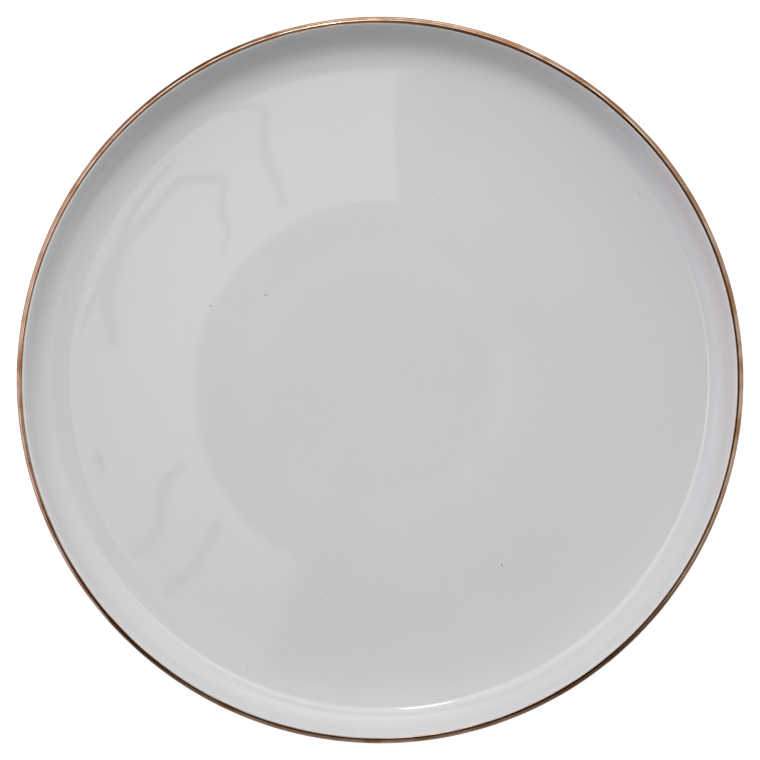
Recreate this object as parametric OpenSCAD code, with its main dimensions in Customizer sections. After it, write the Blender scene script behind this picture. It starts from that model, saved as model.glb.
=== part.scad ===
// Flat porcelain dinner plate: a fired clay body with a foot ring, a glaze coat, the glaze inside the
// foot ring, and a gold line over the lip. All four are turned round the Z axis. The origin is on the
// table, under the centre of the plate, and +Z is up. Millimetres.

/* [Plate] */
// Diameter over the gilded lip
plate_d = 270; // [255:1:285]
// Height from the table to the top of the lip
plate_h = 24; // [22:0.5:28]
// Thickness of the rounded lip
lip_w = 3; // [2.6:0.05:3.4]
// Inside radius of the lip, the tighter one
lip_in_r = 0.5; // [0.45:0.05:0.9]
// Width of the level top of the lip, between its two radii
lip_flat = 0.8; // [0.3:0.05:1]

/* [Well] */
// Height of the level centre of the well above the table
well_z = 7.4; // [7:0.1:8]
// Diameter of the level centre
centre_d = 94; // [60:1:110]
// Rise from the level centre to the crest over the foot ring
crest_rise = 0.5; // [0:0.1:0.8]
// Fall from the crest to the start of the upturn
crest_fall = 0.7; // [0:0.1:0.8]
// Width of the upturn and the fillet together, inside the lip
border_w = 14.4; // [12:0.1:17]
// Slope of the upturn, before the fillet
upturn_angle = 8; // [2:1:12]
// Radius that eases the floor into the upturn
upturn_r = 40; // [20:5:50]
// Inside radius where the floor meets the wall
fillet_r = 9; // [6:0.5:10]

/* [Wall] */
// Outward lean of the inside of the wall
inner_lean = 8; // [5:0.5:12]
// Outward lean of the outside of the wall
outer_lean = 7.5; // [4:0.5:10]
// Outside radius where the wall meets the underside
heel_r = 12.5; // [9:0.5:13]
// Slope of the underside, rising from the foot ring to the heel
under_angle = 0.6; // [0:0.1:1]

/* [Foot ring] */
// Diameter of the foot ring at the middle of its face
foot_d = 142; // [120:1:160]
// Width of the foot ring at the table, before its edges are rounded
foot_w = 3.4; // [2.6:0.1:4.5]
// Height of the foot ring
foot_h = 3.2; // [2.5:0.1:3.5]
// Taper of the foot ring's sides
foot_taper = 15; // [5:1:20]
// Radius of the foot ring's lower edges
foot_edge_r = 0.7; // [0.3:0.1:0.8]
// Radius where the foot ring meets the underside
foot_root_r = 2; // [1:0.1:2.5]
// Rise of the underside from the foot ring to the centre
recess_rise = 0.4; // [0:0.1:0.6]

/* [Glaze and gold] */
// Thickness of the glaze
glaze_t = 0.3; // [0.2:0.05:0.4]
// Height of the bare band that is wiped round the foot ring
wipe_h = 1; // [0.9:0.1:1.4]
// Thickness of the gold line
gold_t = 0.1; // [0.08:0.01:0.15]
// Height of the gold line on the outside of the wall
gold_out_h = 2.6; // [2.4:0.1:5]

/* [Hidden] */

// Sides of the round, the turn that one facet of an arc takes, and the turn below which a corner is flat
round_sides = 240;
facet_turn = 6;
least_turn = 0.01;
// Radius that eases the two slight bends of the well, and the one under it
well_blend_r = 400;

// The outside radius of the lip, and the two ends of its level top, as glazed
lip_out_r = lip_w - lip_flat - lip_in_r;
top_out = [plate_d / 2 - gold_t - lip_out_r, plate_h - gold_t, 0];
top_in = [top_out.x - lip_flat, top_out.y, 0];

// Corners of the glazed outline, each [radius from the axis, height, radius of the rounding]
centre = [0, well_z, 0];
centre_edge = [centre_d / 2, well_z, well_blend_r];
crest = [foot_d / 2, well_z + crest_rise, well_blend_r];
upturn = [plate_d / 2 - lip_w - border_w, well_z + crest_rise - crest_fall, upturn_r];
lip_in = [top_in.x - lip_in_r * tan((90 - inner_lean) / 2), top_in.y, lip_in_r];
lip_out = [top_out.x + lip_out_r * tan((90 + outer_lean) / 2), top_out.y, lip_out_r];
wall_foot = meeting(upturn, upturn_angle, lip_in, inner_lean, fillet_r);

foot_in_x = foot_d / 2 - foot_w / 2;
foot_out_x = foot_d / 2 + foot_w / 2;
root_out = [foot_out_x + foot_h * tan(foot_taper), foot_h, foot_root_r];
root_in = [foot_in_x - foot_h * tan(foot_taper), foot_h, foot_root_r];
heel = meeting(root_out, under_angle, lip_out, outer_lean, heel_r);
wipe_out = [foot_out_x + wipe_h * tan(foot_taper), wipe_h, 0];
wipe_in = [foot_in_x - wipe_h * tan(foot_taper), wipe_h, 0];
toe_out = [foot_out_x, 0, foot_edge_r];
toe_in = [foot_in_x, 0, foot_edge_r];
recess_edge = [centre_d / 2, foot_h + recess_rise, well_blend_r];
recess_centre = [0, foot_h + recess_rise, 0];

gold_out = [lip_out.x - gold_out_h * tan(outer_lean), lip_out.y - gold_out_h, 0];

// The four stretches of the outline, in order, with the clay always on the right
COAT = [centre, centre_edge, crest, upturn, wall_foot, lip_in, lip_out, heel, root_out, wipe_out];
FOOT = [wipe_out, toe_out, toe_in, wipe_in];
RECESS = [wipe_in, root_in, recess_edge, recess_centre];
GOLD = [top_in, lip_out, gold_out];

// Where a floor that leaves point a at a slope meets a wall that rises to point b, leaning outwards
function meeting(a, slope, b, lean, rounding) =
    let (rise = tan(slope), run = tan(lean))
    let (x = (b.x - run * (b.y - a.y + rise * a.x)) / (1 - run * rise))
    [x, a.y + rise * (x - a.x), rounding];

function xy(corner) = [corner.x, corner.y];
function unit(v) = v / norm(v);
function right_of(v) = [v.y, -v.x];
function turn_between(u, v) = atan2(u.x * v.y - u.y * v.x, u * v);

// The rounded corner b between a and c, on the outline at a depth below the glazed surface
function rounded(a, b, c, depth) =
    let (u = unit(xy(b) - xy(a)), v = unit(xy(c) - xy(b)), turn = turn_between(u, v))
    let (side = sign(turn), radius = b.z + side * depth, heading = atan2(u.y, u.x))
    let (corner = xy(b) + depth * (right_of(u) + right_of(v)) / (1 + u * v))
    let (start = corner - u * radius * tan(abs(turn) / 2), middle = start - side * radius * right_of(u))
    let (facets = ceil(abs(turn) / facet_turn))
    abs(turn) < least_turn ? [corner]
        : [for (i = [0:facets]) let (h = heading + turn * i / facets)
            middle + side * radius * [sin(h), -cos(h)]];

// An end of the outline, moved square to the first or last stretch
function moved_end(a, b, at, depth) = xy(at) + depth * right_of(unit(xy(b) - xy(a)));

// The whole of one stretch of the outline, at a depth below the glazed surface
function outline(corners, depth) =
    let (n = len(corners))
    [
        moved_end(corners[0], corners[1], corners[0], depth),
        for (i = [1:n - 2]) each rounded(corners[i - 1], corners[i], corners[i + 1], depth),
        moved_end(corners[n - 2], corners[n - 1], corners[n - 1], depth)
    ];

function reversed(points) = [for (i = [len(points) - 1:-1:0]) points[i]];

module turned(points) {
    rotate_extrude($fn = round_sides) polygon(points);
}

// A layer that lies between two depths of one stretch of the outline
module layer(corners, top, bottom) {
    turned(concat(outline(corners, top), reversed(outline(corners, bottom))));
}

// Fired clay: well, wall, lip and foot ring in one piece, bare only at the foot
module porcelain_body() {
    color([0.93, 0.91, 0.87])
        turned(concat(outline(COAT, glaze_t), outline(FOOT, 0), outline(RECESS, glaze_t)));
}

// Glass coat from the centre of the well, over the lip, to the wiped line outside the foot ring
module glaze_coat() {
    color([0.80, 0.80, 0.82]) layer(COAT, 0, glaze_t);
}

// Glass coat inside the foot ring
module foot_recess_glaze() {
    color([0.76, 0.77, 0.80]) layer(RECESS, 0, glaze_t);
}

// Gold band on top of the glaze, from the inner edge of the lip's level top and down the outside
module gold_rim_line() {
    color([0.78, 0.53, 0.28]) layer(GOLD, -gold_t, 0);
}

porcelain_body();
glaze_coat();
foot_recess_glaze();
gold_rim_line();
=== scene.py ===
"""A flat porcelain dinner plate with a gold line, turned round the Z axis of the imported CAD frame.

Every piece is a lathed mesh on the same outline as its CAD node, with more points, a slight unevenness
from the firing, and procedural ceramic, glaze and gold. Metres; the image's up is +Y."""

import math

import bpy
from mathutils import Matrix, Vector, noise


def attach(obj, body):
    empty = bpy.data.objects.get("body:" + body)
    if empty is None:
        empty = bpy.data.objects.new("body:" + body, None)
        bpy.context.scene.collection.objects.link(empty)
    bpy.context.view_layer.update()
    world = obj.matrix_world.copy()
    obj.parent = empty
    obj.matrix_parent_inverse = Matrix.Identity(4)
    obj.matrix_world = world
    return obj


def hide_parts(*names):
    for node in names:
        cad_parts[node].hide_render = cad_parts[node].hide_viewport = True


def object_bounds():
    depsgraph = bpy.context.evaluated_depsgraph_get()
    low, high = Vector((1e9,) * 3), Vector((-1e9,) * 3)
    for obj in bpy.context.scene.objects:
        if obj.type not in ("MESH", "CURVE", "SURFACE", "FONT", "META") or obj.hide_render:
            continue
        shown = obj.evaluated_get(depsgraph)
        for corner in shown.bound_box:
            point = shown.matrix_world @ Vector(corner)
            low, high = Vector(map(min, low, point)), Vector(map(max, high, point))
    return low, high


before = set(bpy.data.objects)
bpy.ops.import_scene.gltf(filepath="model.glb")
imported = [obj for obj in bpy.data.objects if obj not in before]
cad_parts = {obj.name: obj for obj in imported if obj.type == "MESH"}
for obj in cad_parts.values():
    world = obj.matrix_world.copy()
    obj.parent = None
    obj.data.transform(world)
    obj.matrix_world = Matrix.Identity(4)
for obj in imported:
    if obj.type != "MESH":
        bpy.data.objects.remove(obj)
CAD_LOW, CAD_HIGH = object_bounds()
MM = 0.001

# ---------------------------------------------------------------- sizes, in millimetres unless named otherwise

PLATE_R = -CAD_LOW.x / MM
PLATE_H = CAD_HIGH.z / MM
LIP_W = 3.0
LIP_IN_R = 0.5
LIP_FLAT = 0.8
WELL_Z = 7.4
CENTRE_R = 47.0
CREST_RISE = 0.5
CREST_FALL = 0.7
BORDER_W = 14.4
UPTURN_ANGLE = 8.0
UPTURN_R = 40.0
FILLET_R = 9.0
INNER_LEAN = 8.0
OUTER_LEAN = 7.5
HEEL_R = 12.5
UNDER_ANGLE = 0.6
FOOT_R = 71.0
FOOT_W = 3.4
FOOT_H = 3.2
FOOT_TAPER = 15.0
FOOT_EDGE_R = 0.7
FOOT_ROOT_R = 2.0
RECESS_RISE = 0.4
GLAZE_T = 0.3
WIPE_H = 1.0
GOLD_T = 0.1
WELL_BLEND_R = 400.0

# Facets: sides of the round, the turn of one facet of an arc where it shows and where it doesn't, and the
# longest straight step
SIDES = 360
FINE_TURN = 4.0
COARSE_TURN = 15.0
FINE_STEP = 4.0
COARSE_STEP = 40.0
LEAST_TURN = 0.01
SHARP_ANGLE = 40.0


def tan(degrees):
    return math.tan(math.radians(degrees))


# ---------------------------------------------------------------- the outline, as in the CAD source

def meeting(a, slope, b, lean, rounding):
    """Where a floor that leaves a at a slope meets a wall that rises to b, leaning outwards."""
    rise, run = tan(slope), tan(lean)
    x = (b[0] - run * (b[1] - a[1] + rise * a[0])) / (1 - run * rise)
    return (x, a[1] + rise * (x - a[0]), rounding)


LIP_OUT_R = LIP_W - LIP_FLAT - LIP_IN_R
TOP_OUT = (PLATE_R - GOLD_T - LIP_OUT_R, PLATE_H - GOLD_T)
TOP_IN = (TOP_OUT[0] - LIP_FLAT, TOP_OUT[1])

CENTRE = (0.0, WELL_Z, 0.0)
CENTRE_EDGE = (CENTRE_R, WELL_Z, WELL_BLEND_R)
CREST = (FOOT_R, WELL_Z + CREST_RISE, WELL_BLEND_R)
UPTURN = (PLATE_R - LIP_W - BORDER_W, WELL_Z + CREST_RISE - CREST_FALL, UPTURN_R)
LIP_IN = (TOP_IN[0] - LIP_IN_R * tan((90 - INNER_LEAN) / 2), TOP_IN[1], LIP_IN_R)
LIP_OUT = (TOP_OUT[0] + LIP_OUT_R * tan((90 + OUTER_LEAN) / 2), TOP_OUT[1], LIP_OUT_R)
WALL_FOOT = meeting(UPTURN, UPTURN_ANGLE, LIP_IN, INNER_LEAN, FILLET_R)

FOOT_IN_X = FOOT_R - FOOT_W / 2
FOOT_OUT_X = FOOT_R + FOOT_W / 2
ROOT_OUT = (FOOT_OUT_X + FOOT_H * tan(FOOT_TAPER), FOOT_H, FOOT_ROOT_R)
ROOT_IN = (FOOT_IN_X - FOOT_H * tan(FOOT_TAPER), FOOT_H, FOOT_ROOT_R)
HEEL = meeting(ROOT_OUT, UNDER_ANGLE, LIP_OUT, OUTER_LEAN, HEEL_R)
WIPE_OUT = (FOOT_OUT_X + WIPE_H * tan(FOOT_TAPER), WIPE_H, 0.0)
WIPE_IN = (FOOT_IN_X - WIPE_H * tan(FOOT_TAPER), WIPE_H, 0.0)
TOE_OUT = (FOOT_OUT_X, 0.0, FOOT_EDGE_R)
TOE_IN = (FOOT_IN_X, 0.0, FOOT_EDGE_R)
RECESS_EDGE = (CENTRE_R, FOOT_H + RECESS_RISE, WELL_BLEND_R)
RECESS_CENTRE = (0.0, FOOT_H + RECESS_RISE, 0.0)

COAT = (CENTRE, CENTRE_EDGE, CREST, UPTURN, WALL_FOOT, LIP_IN, LIP_OUT, HEEL, ROOT_OUT, WIPE_OUT)
FOOT = (WIPE_OUT, TOE_OUT, TOE_IN, WIPE_IN)
RECESS = (WIPE_IN, ROOT_IN, RECESS_EDGE, RECESS_CENTRE)


def flat(corner):
    return Vector((corner[0], corner[1]))


def right_of(v):
    return Vector((v.y, -v.x))


def rounded(a, b, c, depth, facet_turn):
    """The rounded corner b between a and c, on the outline at a depth below the glazed surface."""
    u, v = (flat(b) - flat(a)).normalized(), (flat(c) - flat(b)).normalized()
    turn = math.atan2(u.x * v.y - u.y * v.x, u.dot(v))
    side = math.copysign(1.0, turn)
    radius = b[2] + side * depth
    corner = flat(b) + depth * (right_of(u) + right_of(v)) / (1 + u.dot(v))
    if abs(turn) < math.radians(LEAST_TURN):
        return [corner]
    start = corner - u * radius * math.tan(abs(turn) / 2)
    middle = start - side * radius * right_of(u)
    heading = math.atan2(u.y, u.x)
    facets = math.ceil(abs(turn) / math.radians(facet_turn) - LEAST_TURN)
    headings = [heading + turn * i / facets for i in range(facets + 1)]
    return [middle + side * radius * Vector((math.sin(h), -math.cos(h))) for h in headings]


def outline(corners, depth, facet_turn=FINE_TURN, step=FINE_STEP):
    """One stretch of the outline at a depth below the glazed surface, with its straight runs divided."""
    first = (flat(corners[1]) - flat(corners[0])).normalized()
    last = (flat(corners[-1]) - flat(corners[-2])).normalized()
    points = [flat(corners[0]) + depth * right_of(first)]
    for a, b, c in zip(corners, corners[1:], corners[2:]):
        points += rounded(a, b, c, depth, facet_turn)
    points.append(flat(corners[-1]) + depth * right_of(last))
    divided = [points[0]]
    for a, b in zip(points, points[1:]):
        parts = max(1, math.ceil((b - a).length / step))
        divided += [a.lerp(b, i / parts) for i in range(1, parts + 1)]
    return [p for i, p in enumerate(divided) if i == 0 or (p - divided[i - 1]).length > 1e-5]


# ---------------------------------------------------------------- lathe

def lathed(name, rings, close):
    """A mesh from rings(angle), a list of (radius, height) in mm for each side of the round. Points on the
    axis become one vertex. With close, the last ring joins the first."""
    vertices, faces, index = [], [], []
    for side in range(SIDES):
        angle = 2 * math.pi * side / SIDES
        row = []
        for k, (r, z) in enumerate(rings(angle)):
            if r < 1e-6 and side:
                row.append(index[0][k])
                continue
            vertices.append((r * math.cos(angle) * MM, r * math.sin(angle) * MM, z * MM))
            row.append(len(vertices) - 1)
        index.append(row)
    count = len(index[0])
    for side in range(SIDES):
        here, there = index[side], index[(side + 1) % SIDES]
        for k in range(count if close else count - 1):
            j = (k + 1) % count
            corners = []
            for v in (here[k], here[j], there[j], there[k]):
                if v not in corners:
                    corners.append(v)
            if len(corners) > 2:
                faces.append(corners)
    mesh = bpy.data.meshes.new(name)
    mesh.from_pydata(vertices, [], faces)
    mesh.validate()
    mesh.shade_smooth()
    mesh.set_sharp_from_angle(angle=math.radians(SHARP_ANGLE))
    piece = bpy.data.objects.new(name, mesh)
    bpy.context.scene.collection.objects.link(piece)
    return piece


# Unevenness of the floor: the radius where it ends, over how wide a band it fades, and the width, height and
# seed of its broad and its fine waves
WARP_R = 125.0
WARP_FADE = 20.0
WARPS = ((45.0, 0.045, 3.7), (16.0, 0.008, 8.2))


def uneven(angle, r, z):
    """The slight unevenness that a floor gets in the kiln, in mm of height, and none at lip and foot."""
    inside = max(0.0, min(1.0, (WARP_R - r) / WARP_FADE)) * min(1.0, z / FOOT_H)
    place = Vector((r * math.cos(angle), r * math.sin(angle), 0.0))
    waves = [height * noise.noise(place / width + Vector((0, 0, seed))) for width, height, seed in WARPS]
    return inside * sum(waves)


def warped(points):
    return lambda angle: [(p.x, p.y + uneven(angle, p.x, p.y)) for p in points]


BEAD_W = 0.6
BEAD_H = 0.1
BEAD_STEPS = 8


def beaded(points, side):
    """The outline with a bead of glaze swelling out of its end, where a sponge wiped the foot bare."""
    back = (points[-2] - points[-1]).normalized()
    out = side * right_of(back)
    bead = []
    for i in range(BEAD_STEPS + 1):
        part = i / BEAD_STEPS
        bead.append(points[-1] + back * BEAD_W * (1 - part) + out * BEAD_H * math.sin(math.pi * part))
    return points[:-1] + bead


def clay_side(corners):
    return outline(corners, GLAZE_T, COARSE_TURN, COARSE_STEP)[::-1]


def make_body():
    coat = outline(COAT, GLAZE_T, COARSE_TURN, COARSE_STEP)
    recess = outline(RECESS, GLAZE_T, COARSE_TURN, COARSE_STEP)
    return lathed("clay_body", warped(coat + outline(FOOT, 0.0) + recess), False)


def make_coat():
    return lathed("white_glaze", warped(beaded(outline(COAT, 0.0), 1) + clay_side(COAT)), False)


def make_recess():
    glazed = beaded(outline(RECESS, 0.0)[::-1], -1)[::-1]
    return lathed("foot_recess_coat", warped(glazed + clay_side(RECESS)), False)


# The gold band: how far it reaches to either side along the glaze, from the inner end of the lip's level top,
# how much a hand on a banding wheel lets those edges wander and how far off centre it ran, how its film thins
# out at them, and how much of its thickness it loses over a first stretch where it ran down outwards
GOLD_IN = 0.2
GOLD_OUT = 4.5
GOLD_WANDER = 0.2
GOLD_SHIFT = 0.25
GOLD_SHIFT_BEARING = -125.0
GOLD_EDGE = 0.2
GOLD_SINK = 0.03
GOLD_RUN = 0.28
GOLD_RUN_W = 1.6
GOLD_STEPS = 30
LIP_TURN = 2.0


class Track:
    """A walk along an outline by distance from one of its points, in mm."""

    def __init__(self, points, start):
        self.points = points
        self.marks = [0.0]
        for a, b in zip(points, points[1:]):
            self.marks.append(self.marks[-1] + (b - a).length)
        zero = min(range(len(points)), key=lambda i: (points[i] - flat(start)).length)
        self.marks = [mark - self.marks[zero] for mark in self.marks]

    def at(self, distance):
        """The point at a distance, and the way out of the surface there."""
        i = 0
        while i < len(self.points) - 2 and self.marks[i + 1] < distance:
            i += 1
        a, b = self.points[i], self.points[i + 1]
        part = (distance - self.marks[i]) / (self.marks[i + 1] - self.marks[i])
        return a.lerp(b, part), -right_of((b - a).normalized())


LIP_TRACK = Track(outline((WALL_FOOT, LIP_IN, LIP_OUT, HEEL), 0.0, LIP_TURN, FINE_STEP), TOP_IN)


def gold_rings(angle):
    across = Vector((math.cos(angle), math.sin(angle), 0.0))
    wander = noise.noise(across * 1.3) + 0.3 * noise.noise(across * 9.0)
    drift = noise.noise(across * 1.7 + Vector((0, 0, 5))) + 0.3 * noise.noise(across * 11.0)
    off_centre = 1 + math.cos(angle - math.radians(GOLD_SHIFT_BEARING))
    start = -GOLD_IN + GOLD_SHIFT * off_centre - GOLD_WANDER * wander
    end = GOLD_OUT + 2 * GOLD_WANDER * drift
    film, under = [], []
    for i in range(GOLD_STEPS + 1):
        distance = start + (end - start) * i / GOLD_STEPS
        surface, out = LIP_TRACK.at(distance)
        thin = 1 - min(1.0, min(distance - start, end - distance) / GOLD_EDGE)
        thickness = GOLD_T * (1 - GOLD_RUN * max(0.0, min(1.0, distance / GOLD_RUN_W)))
        film.append(surface + out * thickness * (1 - thin * thin) - out * GOLD_SINK * thin)
        under.append(surface - out * GOLD_SINK)
    return [(p.x, p.y) for p in film + under[-2:0:-1]]


def make_gold():
    return lathed("gold_line", gold_rings, True)


# ---------------------------------------------------------------- materials

class Graph:
    """A node tree that is built one node at a time. An input is a number, a colour or another node's output."""

    def __init__(self, owner):
        owner.use_nodes = True
        self.tree = owner.node_tree

    def put(self, socket, value):
        if isinstance(value, bpy.types.NodeSocket):
            self.tree.links.new(value, socket)
        else:
            socket.default_value = value

    def make(self, kind, inputs, output=0, **settings):
        node = self.tree.nodes.new("ShaderNode" + kind)
        for name, value in settings.items():
            setattr(node, name, value)
        for name, value in inputs.items():
            self.put(node.inputs[name], value)
        return node.outputs[output]

    def place(self):
        return self.make("TexCoord", {}, "Object")

    def math(self, operation, a, b=0.0):
        return self.make("Math", {0: a, 1: b}, operation=operation)

    def vector(self, operation, a, b=(0, 0, 0), output="Vector"):
        return self.make("VectorMath", {0: a, 1: b}, output, operation=operation)

    def scaled(self, vector, factor):
        return self.make("VectorMath", {0: vector, "Scale": factor}, operation="SCALE")

    def ramp(self, value, low, high, start=0.0, end=1.0):
        """A smooth step from start, where value is low, to end, where it is high."""
        limits = {"Value": value, "From Min": low, "From Max": high, "To Min": start, "To Max": end}
        return self.make("MapRange", limits, interpolation_type="SMOOTHSTEP")

    def noise(self, place, size, detail=2.0):
        """Noise about 0.5, with features of a size in mm."""
        return self.make("TexNoise", {"Vector": place, "Scale": 1 / (size * MM), "Detail": detail}, "Fac")

    def wave(self, distance, size):
        """Noise about 0.5 along one distance in metres, with features of a size in mm."""
        return self.make("TexNoise", {"W": distance, "Scale": 1 / (size * MM)}, "Fac", noise_dimensions="1D")

    def mix(self, factor, a, b):
        names = {0: factor, 6: a, 7: b}
        return self.make("Mix", names, 2, data_type="RGBA")

    def sum(self, *terms):
        total = terms[0]
        for term in terms[1:]:
            total = self.math("ADD", total, term)
        return total

    def bump(self, height):
        return self.make("Bump", {"Height": height, "Strength": 1.0, "Distance": 1.0})

    def radius(self, place):
        """Distance from the Z axis, in metres."""
        return self.vector("LENGTH", self.vector("MULTIPLY", place, (1, 1, 0)), output="Value")


def new_material(name):
    material = bpy.data.materials.new(name)
    return material, Graph(material), material.node_tree.nodes["Principled BSDF"]


# Iron specks that came up through the glaze of the well: X, Y, radius in mm, and how dark each is
SPECKS = (
    (-64, 28, 0.32, 0.9),
    (-43.5, 32, 0.35, 0.6),
    (-42.8, 32.3, 0.35, 0.6),
    (46, -70, 0.35, 0.95),
    (20, 71, 0.3, 0.4),
    (98, 71, 0.3, 0.45),
    (-38, -21, 0.25, 0.3),
    (65, -44, 0.25, 0.3),
)
SPECK_CELL = 15.0
SPECK_R = 0.28
# Tints in the glaze: its fine mottling, where it pooled at the wall's foot, a worn ring round the level centre,
# and scattered and placed iron specks
MOTTLE_TINT = (0.63, 0.62, 0.61, 1)
POOL_TINT = (0.65, 0.69, 0.73, 1)
RING_TINT = (0.80, 0.80, 0.80, 1)
SPECK_TINT = (0.06, 0.045, 0.035, 1)
PLACED_TINT = (0.04, 0.035, 0.03, 1)
# Relief of the glaze, in mm: its orange peel, and pin pricks by the size of their cells, radius and depth
PEEL = 0.0014
PIT_CELL = 6.0
PIT_R = 0.22
PIT_DEPTH = 0.012


def speckled(graph, place, cell):
    """How much of an iron speck there is at a place: scattered ones, by the size of their cells in mm."""
    cells = {"Vector": place, "Scale": 1 / (cell * MM)}
    distance = graph.make("TexVoronoi", cells, "Distance")
    strength = graph.make("SeparateColor", {0: graph.make("TexVoronoi", cells, "Color")})
    spot = graph.ramp(distance, 0.4 * SPECK_R / cell, SPECK_R / cell, 1.0, 0.0)
    return graph.math("MULTIPLY", spot, graph.math("MULTIPLY", strength, 0.8))


def make_glaze_material(name, bright, dull, cell, roughness, rings):
    """Transparent-white glaze over pale clay. Bright and dull are its two tints, cell is how far apart its iron
    specks are, and rings is the height in mm of what is left of the turning."""
    material, graph, shader = new_material(name)
    place = graph.place()
    radius = graph.radius(place)

    cloud = graph.ramp(graph.noise(place, 70, 3.0), 0.35, 0.65)
    colour = graph.mix(cloud, dull + (1,), bright + (1,))
    mottle = graph.ramp(graph.noise(place, 1.6, 4.0), 0.3, 0.7, 0.0, 0.05)
    colour = graph.mix(mottle, colour, MOTTLE_TINT)
    outward, inward = graph.ramp(radius, 0.119, 0.124), graph.ramp(radius, 0.127, 0.130, 0.10, 0.0)
    pooled = graph.math("MULTIPLY", outward, inward)
    colour = graph.mix(pooled, colour, POOL_TINT)
    ring = graph.math("MULTIPLY", graph.ramp(radius, 0.040, 0.047), graph.ramp(radius, 0.048, 0.056, 1.0, 0.0))
    ring = graph.math("MULTIPLY", ring, graph.ramp(graph.noise(place, 30), 0.3, 0.7, 0.05, 0.4))
    colour = graph.mix(ring, colour, RING_TINT)
    specks = speckled(graph, place, cell)
    colour = graph.mix(specks, colour, SPECK_TINT)
    graph.put(shader.inputs["Base Color"], colour)

    gloss = graph.ramp(graph.noise(place, 9, 3.0), 0.3, 0.7, roughness, 1.5 * roughness)
    graph.put(shader.inputs["Roughness"], gloss)
    shader.inputs["IOR"].default_value = 1.5

    peel = graph.math("MULTIPLY", graph.noise(place, 5.0, 1.0), PEEL * MM)
    turned = graph.math("MULTIPLY", graph.wave(radius, 5.0), rings * MM)
    pits = graph.make("TexVoronoi", {"Vector": place, "Scale": 1 / (PIT_CELL * MM)}, "Distance")
    pits = graph.ramp(pits, 0.0, PIT_R / PIT_CELL, -PIT_DEPTH * MM, 0.0)
    graph.put(shader.inputs["Normal"], graph.bump(graph.sum(peel, turned, pits)))
    return material, graph, shader


def add_placed_specks(graph, shader):
    colour = shader.inputs["Base Color"].links[0].from_socket
    level = graph.vector("MULTIPLY", graph.place(), (1, 1, 0))
    for x, y, radius, dark in SPECKS:
        apart = graph.vector("DISTANCE", level, (x * MM, y * MM, 0), "Value")
        spot = graph.ramp(apart, 0.5 * radius * MM, radius * MM, dark, 0.0)
        colour = graph.mix(spot, colour, PLACED_TINT)
    graph.put(shader.inputs["Base Color"], colour)


# Tints of the bare clay, of its grain and of its kiln marks, and its relief in mm
CLAY_TINT = (0.80, 0.76, 0.69, 1)
CLAY_GRAIN_TINT = (0.66, 0.60, 0.52, 1)
CLAY_WORN_TINT = (0.38, 0.34, 0.29, 1)
CLAY_RELIEF = 0.02


def make_clay_material():
    """Unglazed, ground white clay with the grey-brown marks that a kiln shelf leaves on the foot."""
    material, graph, shader = new_material("fired_clay")
    place = graph.place()
    height = graph.make("SeparateXYZ", {0: place}, "Z")
    grain = graph.ramp(graph.noise(place, 0.9, 5.0), 0.35, 0.7)
    colour = graph.mix(grain, CLAY_TINT, CLAY_GRAIN_TINT)
    worn = graph.math("MULTIPLY", graph.ramp(height, 0.0001, 0.0006, 1.0, 0.0),
                      graph.ramp(graph.noise(place, 7, 4.0), 0.4, 0.65, 0.0, 0.7))
    colour = graph.mix(worn, colour, CLAY_WORN_TINT)
    graph.put(shader.inputs["Base Color"], colour)
    graph.put(shader.inputs["Roughness"], graph.ramp(grain, 0.0, 1.0, 0.7, 0.9))
    rough = graph.math("MULTIPLY", graph.noise(place, 0.35, 3.0), CLAY_RELIEF * MM)
    graph.put(shader.inputs["Normal"], graph.bump(rough))
    return material


# Two tints of the gold, and the relief of its brush streaks and its patches, in mm
GOLD_BRIGHT = (0.61, 0.42, 0.31, 1)
GOLD_DULL = (0.38, 0.195, 0.1, 1)
STREAK_H = 0.001
PATCH_H = 0.01


def make_gold_material():
    """Burnished liquid gold, banded on with a brush: streaks run round the lip, and it is brown where thin."""
    material, graph, shader = new_material("gold_line")
    place = graph.place()
    split = graph.make("SeparateXYZ", {0: place}).node
    bearing = graph.math("ARCTAN2", split.outputs["Y"], split.outputs["X"])
    along = graph.math("MULTIPLY", bearing, PLATE_R * MM)
    parts = {0: graph.math("MULTIPLY", along, 0.02), 1: graph.radius(place), 2: split.outputs["Z"]}
    stroke = graph.make("CombineXYZ", parts)
    streaks = graph.noise(stroke, 0.22, 3.0)
    patches = graph.noise(place, 12, 4.0)
    worn = graph.ramp(graph.sum(patches, graph.math("MULTIPLY", streaks, 0.5)), 0.62, 0.92)
    graph.put(shader.inputs["Base Color"], graph.mix(worn, GOLD_BRIGHT, GOLD_DULL))
    shader.inputs["Metallic"].default_value = 1.0
    roughness = graph.sum(graph.ramp(streaks, 0.3, 0.7, 0.08, 0.13), graph.ramp(patches, 0.35, 0.7, 0.0, 0.07))
    graph.put(shader.inputs["Roughness"], roughness)
    fine, broad = graph.math("MULTIPLY", streaks, STREAK_H * MM), graph.math("MULTIPLY", patches, PATCH_H * MM)
    graph.put(shader.inputs["Normal"], graph.bump(graph.sum(fine, broad)))
    return material


# ---------------------------------------------------------------- stage: floor, lights, camera

def stage_mesh(name, vertices, faces, material):
    mesh = bpy.data.meshes.new(name)
    mesh.from_pydata([tuple(Vector(v) * MM) for v in vertices], [], faces)
    mesh.materials.append(material)
    thing = bpy.data.objects.new(name, mesh)
    bpy.context.scene.collection.objects.link(thing)
    return thing


# Two floors in one place, by half their width and the depth of the second, in mm. One is what the camera sees,
# and stays white under and round the plate. The other is what lights and mirrors itself in the plate's outside.
FLOOR_HALF = 6000.0
BOUNCE_DEPTH = 0.2
# Their tint, and how much radiance of its own each has
FLOOR_BASE = 0.4
FLOOR_GLOW = 0.9
BOUNCE_GLOW = 0.35


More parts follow.
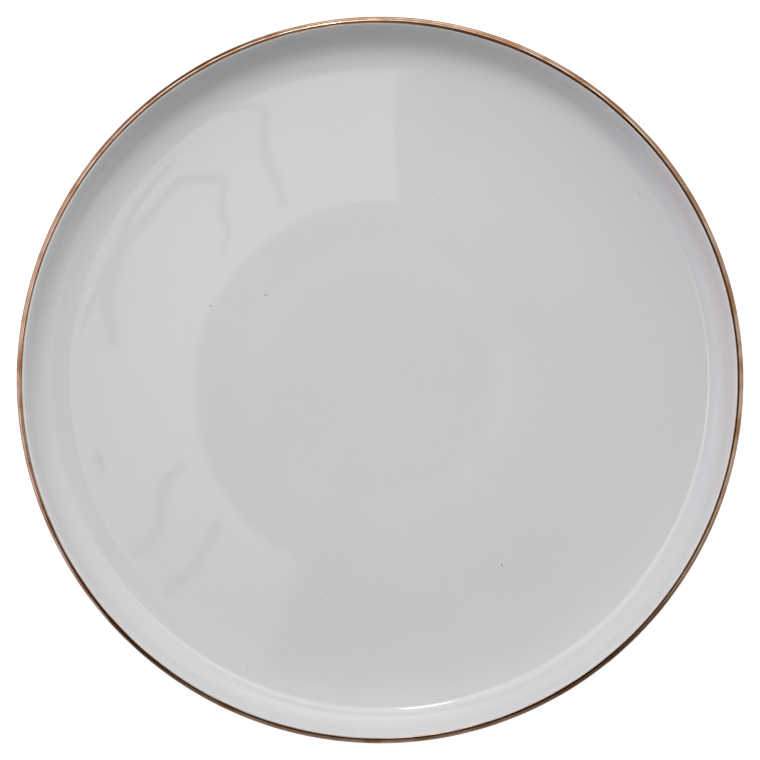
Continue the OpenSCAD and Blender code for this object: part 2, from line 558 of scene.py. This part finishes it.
def make_floor(name, glow, depth):
    material, graph, shader = new_material(name)
    shader.inputs["Base Color"].default_value = (FLOOR_BASE, FLOOR_BASE, FLOOR_BASE, 1)
    shader.inputs["Roughness"].default_value = 0.9
    shader.inputs["Specular IOR Level"].default_value = 0.0
    shader.inputs["Emission Color"].default_value = (1, 1, 1, 1)
    shader.inputs["Emission Strength"].default_value = glow
    material.cycles.emission_sampling = "NONE"
    square = [(x * FLOOR_HALF, y * FLOOR_HALF, -depth) for x, y in ((-1, -1), (1, -1), (1, 1), (-1, 1))]
    return stage_mesh(name, square, [(0, 1, 2, 3)], material)


def make_floors():
    seen = make_floor("floor", FLOOR_GLOW, 0.0)
    seen.visible_diffuse = seen.visible_glossy = seen.visible_shadow = False
    make_floor("bounce_floor", BOUNCE_GLOW, BOUNCE_DEPTH).visible_camera = False


# Soft lights a long way off: bearing and height in degrees, the angles where each begins to fade and is gone,
# radiance
LIGHTS = (
    ("key", 114, 69, 22, 30, (1.75, 1.75, 1.75)),
    ("left_wall", 177, 8, 16, 53, (1.2, 1.1, 1.2)),
    ("right_wall", 15, 37, 28, 50, (0.75, 0.75, 0.75)),
    ("back_window", 84, 8, 12, 32, (1.85, 1.85, 1.85)),
    ("front", -90, 32, 10, 40, (0.35, 0.35, 0.35)),
    ("glint", 98, 64, 1, 2.5, (30.0, 30.0, 30.0)),
)
# The rest of the room, and the dark camera stand overhead, with the angles between which it ends
ROOM = (0.01, 0.01, 0.01)
STAND_IN = 14
STAND_OUT = 19
# What the camera itself sees beyond the edge of the floor
BACKDROP = (1.0, 1.0, 1.0, 1)


def direction(bearing, height):
    bearing, height = math.radians(bearing), math.radians(height)
    return (math.cos(height) * math.cos(bearing), math.cos(height) * math.sin(bearing), math.sin(height))


def make_world():
    world = bpy.data.worlds.new("studio")
    graph = Graph(world)
    ray = graph.make("TexCoord", {}, "Generated")

    def disc(axis, inner, outer, inside=1.0, outside=0.0):
        """A number that goes smoothly from inside to outside, between two angles off an axis."""
        cosine = graph.vector("DOT_PRODUCT", ray, axis, "Value")
        return graph.ramp(cosine, math.cos(math.radians(outer)), math.cos(math.radians(inner)), outside, inside)

    total = ROOM
    for name, bearing, height, inner, outer, radiance in LIGHTS:
        lamp = graph.scaled(radiance, disc(direction(bearing, height), inner, outer))
        total = graph.vector("ADD", total, lamp)
    total = graph.scaled(total, disc((0, 0, 1), STAND_IN, STAND_OUT, 0.0, 1.0))
    seen = graph.make("LightPath", {}, "Is Camera Ray")
    graph.put(graph.tree.nodes["Background"].inputs["Color"], graph.mix(seen, total, BACKDROP))
    bpy.context.scene.world = world


# A round sheet of cloth hung beside the camera, left of a round hole that the lens looks through, with tapes
# across its seams: corners and lines in mm, as (X, Y). Between two places in Y its radiance falls to a share.
SHEET_H = 800.0
SHEET_RADIANCE = 1.1
SHEET_FADE = (-60.0, -240.0)
SHEET_FADED = 0.5
SHEET_R = 262.0
HOLE_R = 137.0
HOLE_Y = -8.0
SHEET = ((14, 80), (14, 330), (-330, 330), (-330, -300), (-130, -300), (-60, -150), (-60, 80))
TAPE_W = 9.0
TAPE_H = 796.0
TAPES = (
    ((-72, 130), (-82, 152), (-98, 195), (-94, 228), (-105, 262)),
    ((-124, 96), (-125, 123), (-136, 142), (-130, 168), (-165, 167), (-215, 110), (-228, 66), (-222, 30)),
    ((-166, -70), (-182, -86), (-186, -128), (-206, -150), (-232, -112), (-236, -60)),
    ((-140, -120), (-158, -160), (-196, -182), (-214, -214)),
)


def make_cloth_material():
    """Thin cloth that lets all light through and adds a radiance of its own, less towards -Y, between the round
    hole and the round edge."""
    material = bpy.data.materials.new("light_cloth")
    graph = Graph(material)
    place = graph.place()
    across = graph.make("SeparateXYZ", {0: place}, "Y")
    to_hole = graph.vector("DISTANCE", graph.vector("MULTIPLY", place, (1, 1, 0)), (0, HOLE_Y * MM, 0), "Value")
    cloth = graph.math("MULTIPLY", graph.math("GREATER_THAN", to_hole, HOLE_R * MM),
                       graph.math("LESS_THAN", graph.radius(place), SHEET_R * MM))
    full, faded = SHEET_FADE
    radiance = graph.ramp(across, faded * MM, full * MM, SHEET_FADED * SHEET_RADIANCE, SHEET_RADIANCE)
    glow = graph.make("Emission", {"Strength": graph.math("MULTIPLY", cloth, radiance)})
    both = graph.make("AddShader", {0: graph.make("BsdfTransparent", {}), 1: glow})
    graph.put(graph.tree.nodes["Material Output"].inputs["Surface"], both)
    material.cycles.emission_sampling = "NONE"
    return material


def ribbon(line, width, height):
    """A flat ribbon of even width along a line, as vertices and faces."""
    points = [Vector(p) for p in line]
    vertices = []
    for i, p in enumerate(points):
        along = (points[min(i + 1, len(points) - 1)] - points[max(i - 1, 0)]).normalized()
        for side in (-width / 2, width / 2):
            vertices.append((p.x - along.y * side, p.y + along.x * side, height))
    return vertices, [(2 * i, 2 * i + 1, 2 * i + 3, 2 * i + 2) for i in range(len(points) - 1)]


def make_sheet():
    """The camera doesn't see the sheet or its tapes: only their reflections show."""
    corners = [(x, y, SHEET_H) for x, y in SHEET]
    parts = [stage_mesh("light_sheet", corners, [tuple(range(len(corners)))], make_cloth_material())]
    black, graph, shader = new_material("black_tape")
    shader.inputs["Base Color"].default_value = (0.02, 0.02, 0.02, 1)
    shader.inputs["Roughness"].default_value = 0.9
    for i, line in enumerate(TAPES):
        vertices, faces = ribbon(line, TAPE_W, TAPE_H)
        parts.append(stage_mesh(f"tape_{i}", vertices, faces, black))
    for part in parts:
        part.visible_camera = False
        part.visible_shadow = False


# A soft lamp nearby, over the far side of the plate, whose own reflection is left out: place and size in mm,
# and watts
LAMP_PLACE = (-40.0, 260.0, 375.0)
LAMP_SIZE = 300.0
LAMP_WATTS = 0.35


def make_lamp():
    light = bpy.data.lights.new("near_lamp", "AREA")
    light.size = LAMP_SIZE * MM
    light.energy = LAMP_WATTS
    lamp = bpy.data.objects.new("near_lamp", light)
    lamp.location = Vector(LAMP_PLACE) * MM
    lamp.rotation_euler = (-lamp.location).to_track_quat("-Z", "Y").to_euler()
    lamp.visible_camera = lamp.visible_glossy = False
    bpy.context.scene.collection.objects.link(lamp)


# The camera looks straight down: its distance over the lip in metres, and its focal length in mm
CAMERA_DISTANCE = 0.782
LENS = 100.0


def make_camera():
    camera = bpy.data.objects.new("camera", bpy.data.cameras.new("camera"))
    camera.data.lens = LENS
    camera.location = (0, 0, CAD_HIGH.z + CAMERA_DISTANCE)
    bpy.context.scene.collection.objects.link(camera)
    bpy.context.scene.camera = camera


# ---------------------------------------------------------------- assembly

def dress(piece, material, node):
    piece.data.materials.append(material)
    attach(piece, "root")
    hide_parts(node)


upper_glaze, upper_graph, upper_shader = make_glaze_material(
    "white_glaze", (0.76, 0.76, 0.76), (0.745, 0.745, 0.75), SPECK_CELL, 0.022, 0.0005)
add_placed_specks(upper_graph, upper_shader)
under_glaze, under_graph, under_shader = make_glaze_material(
    "foot_recess_coat", (0.79, 0.79, 0.785), (0.76, 0.765, 0.77), 9.0, 0.07, 0.004)
dress(make_body(), make_clay_material(), "porcelain_body")
dress(make_coat(), upper_glaze, "glaze_coat")
dress(make_recess(), under_glaze, "foot_recess_glaze")
dress(make_gold(), make_gold_material(), "gold_rim_line")
make_floors()
make_world()
make_sheet()
make_lamp()
make_camera()
bpy.context.scene.view_settings.view_transform = "Standard"
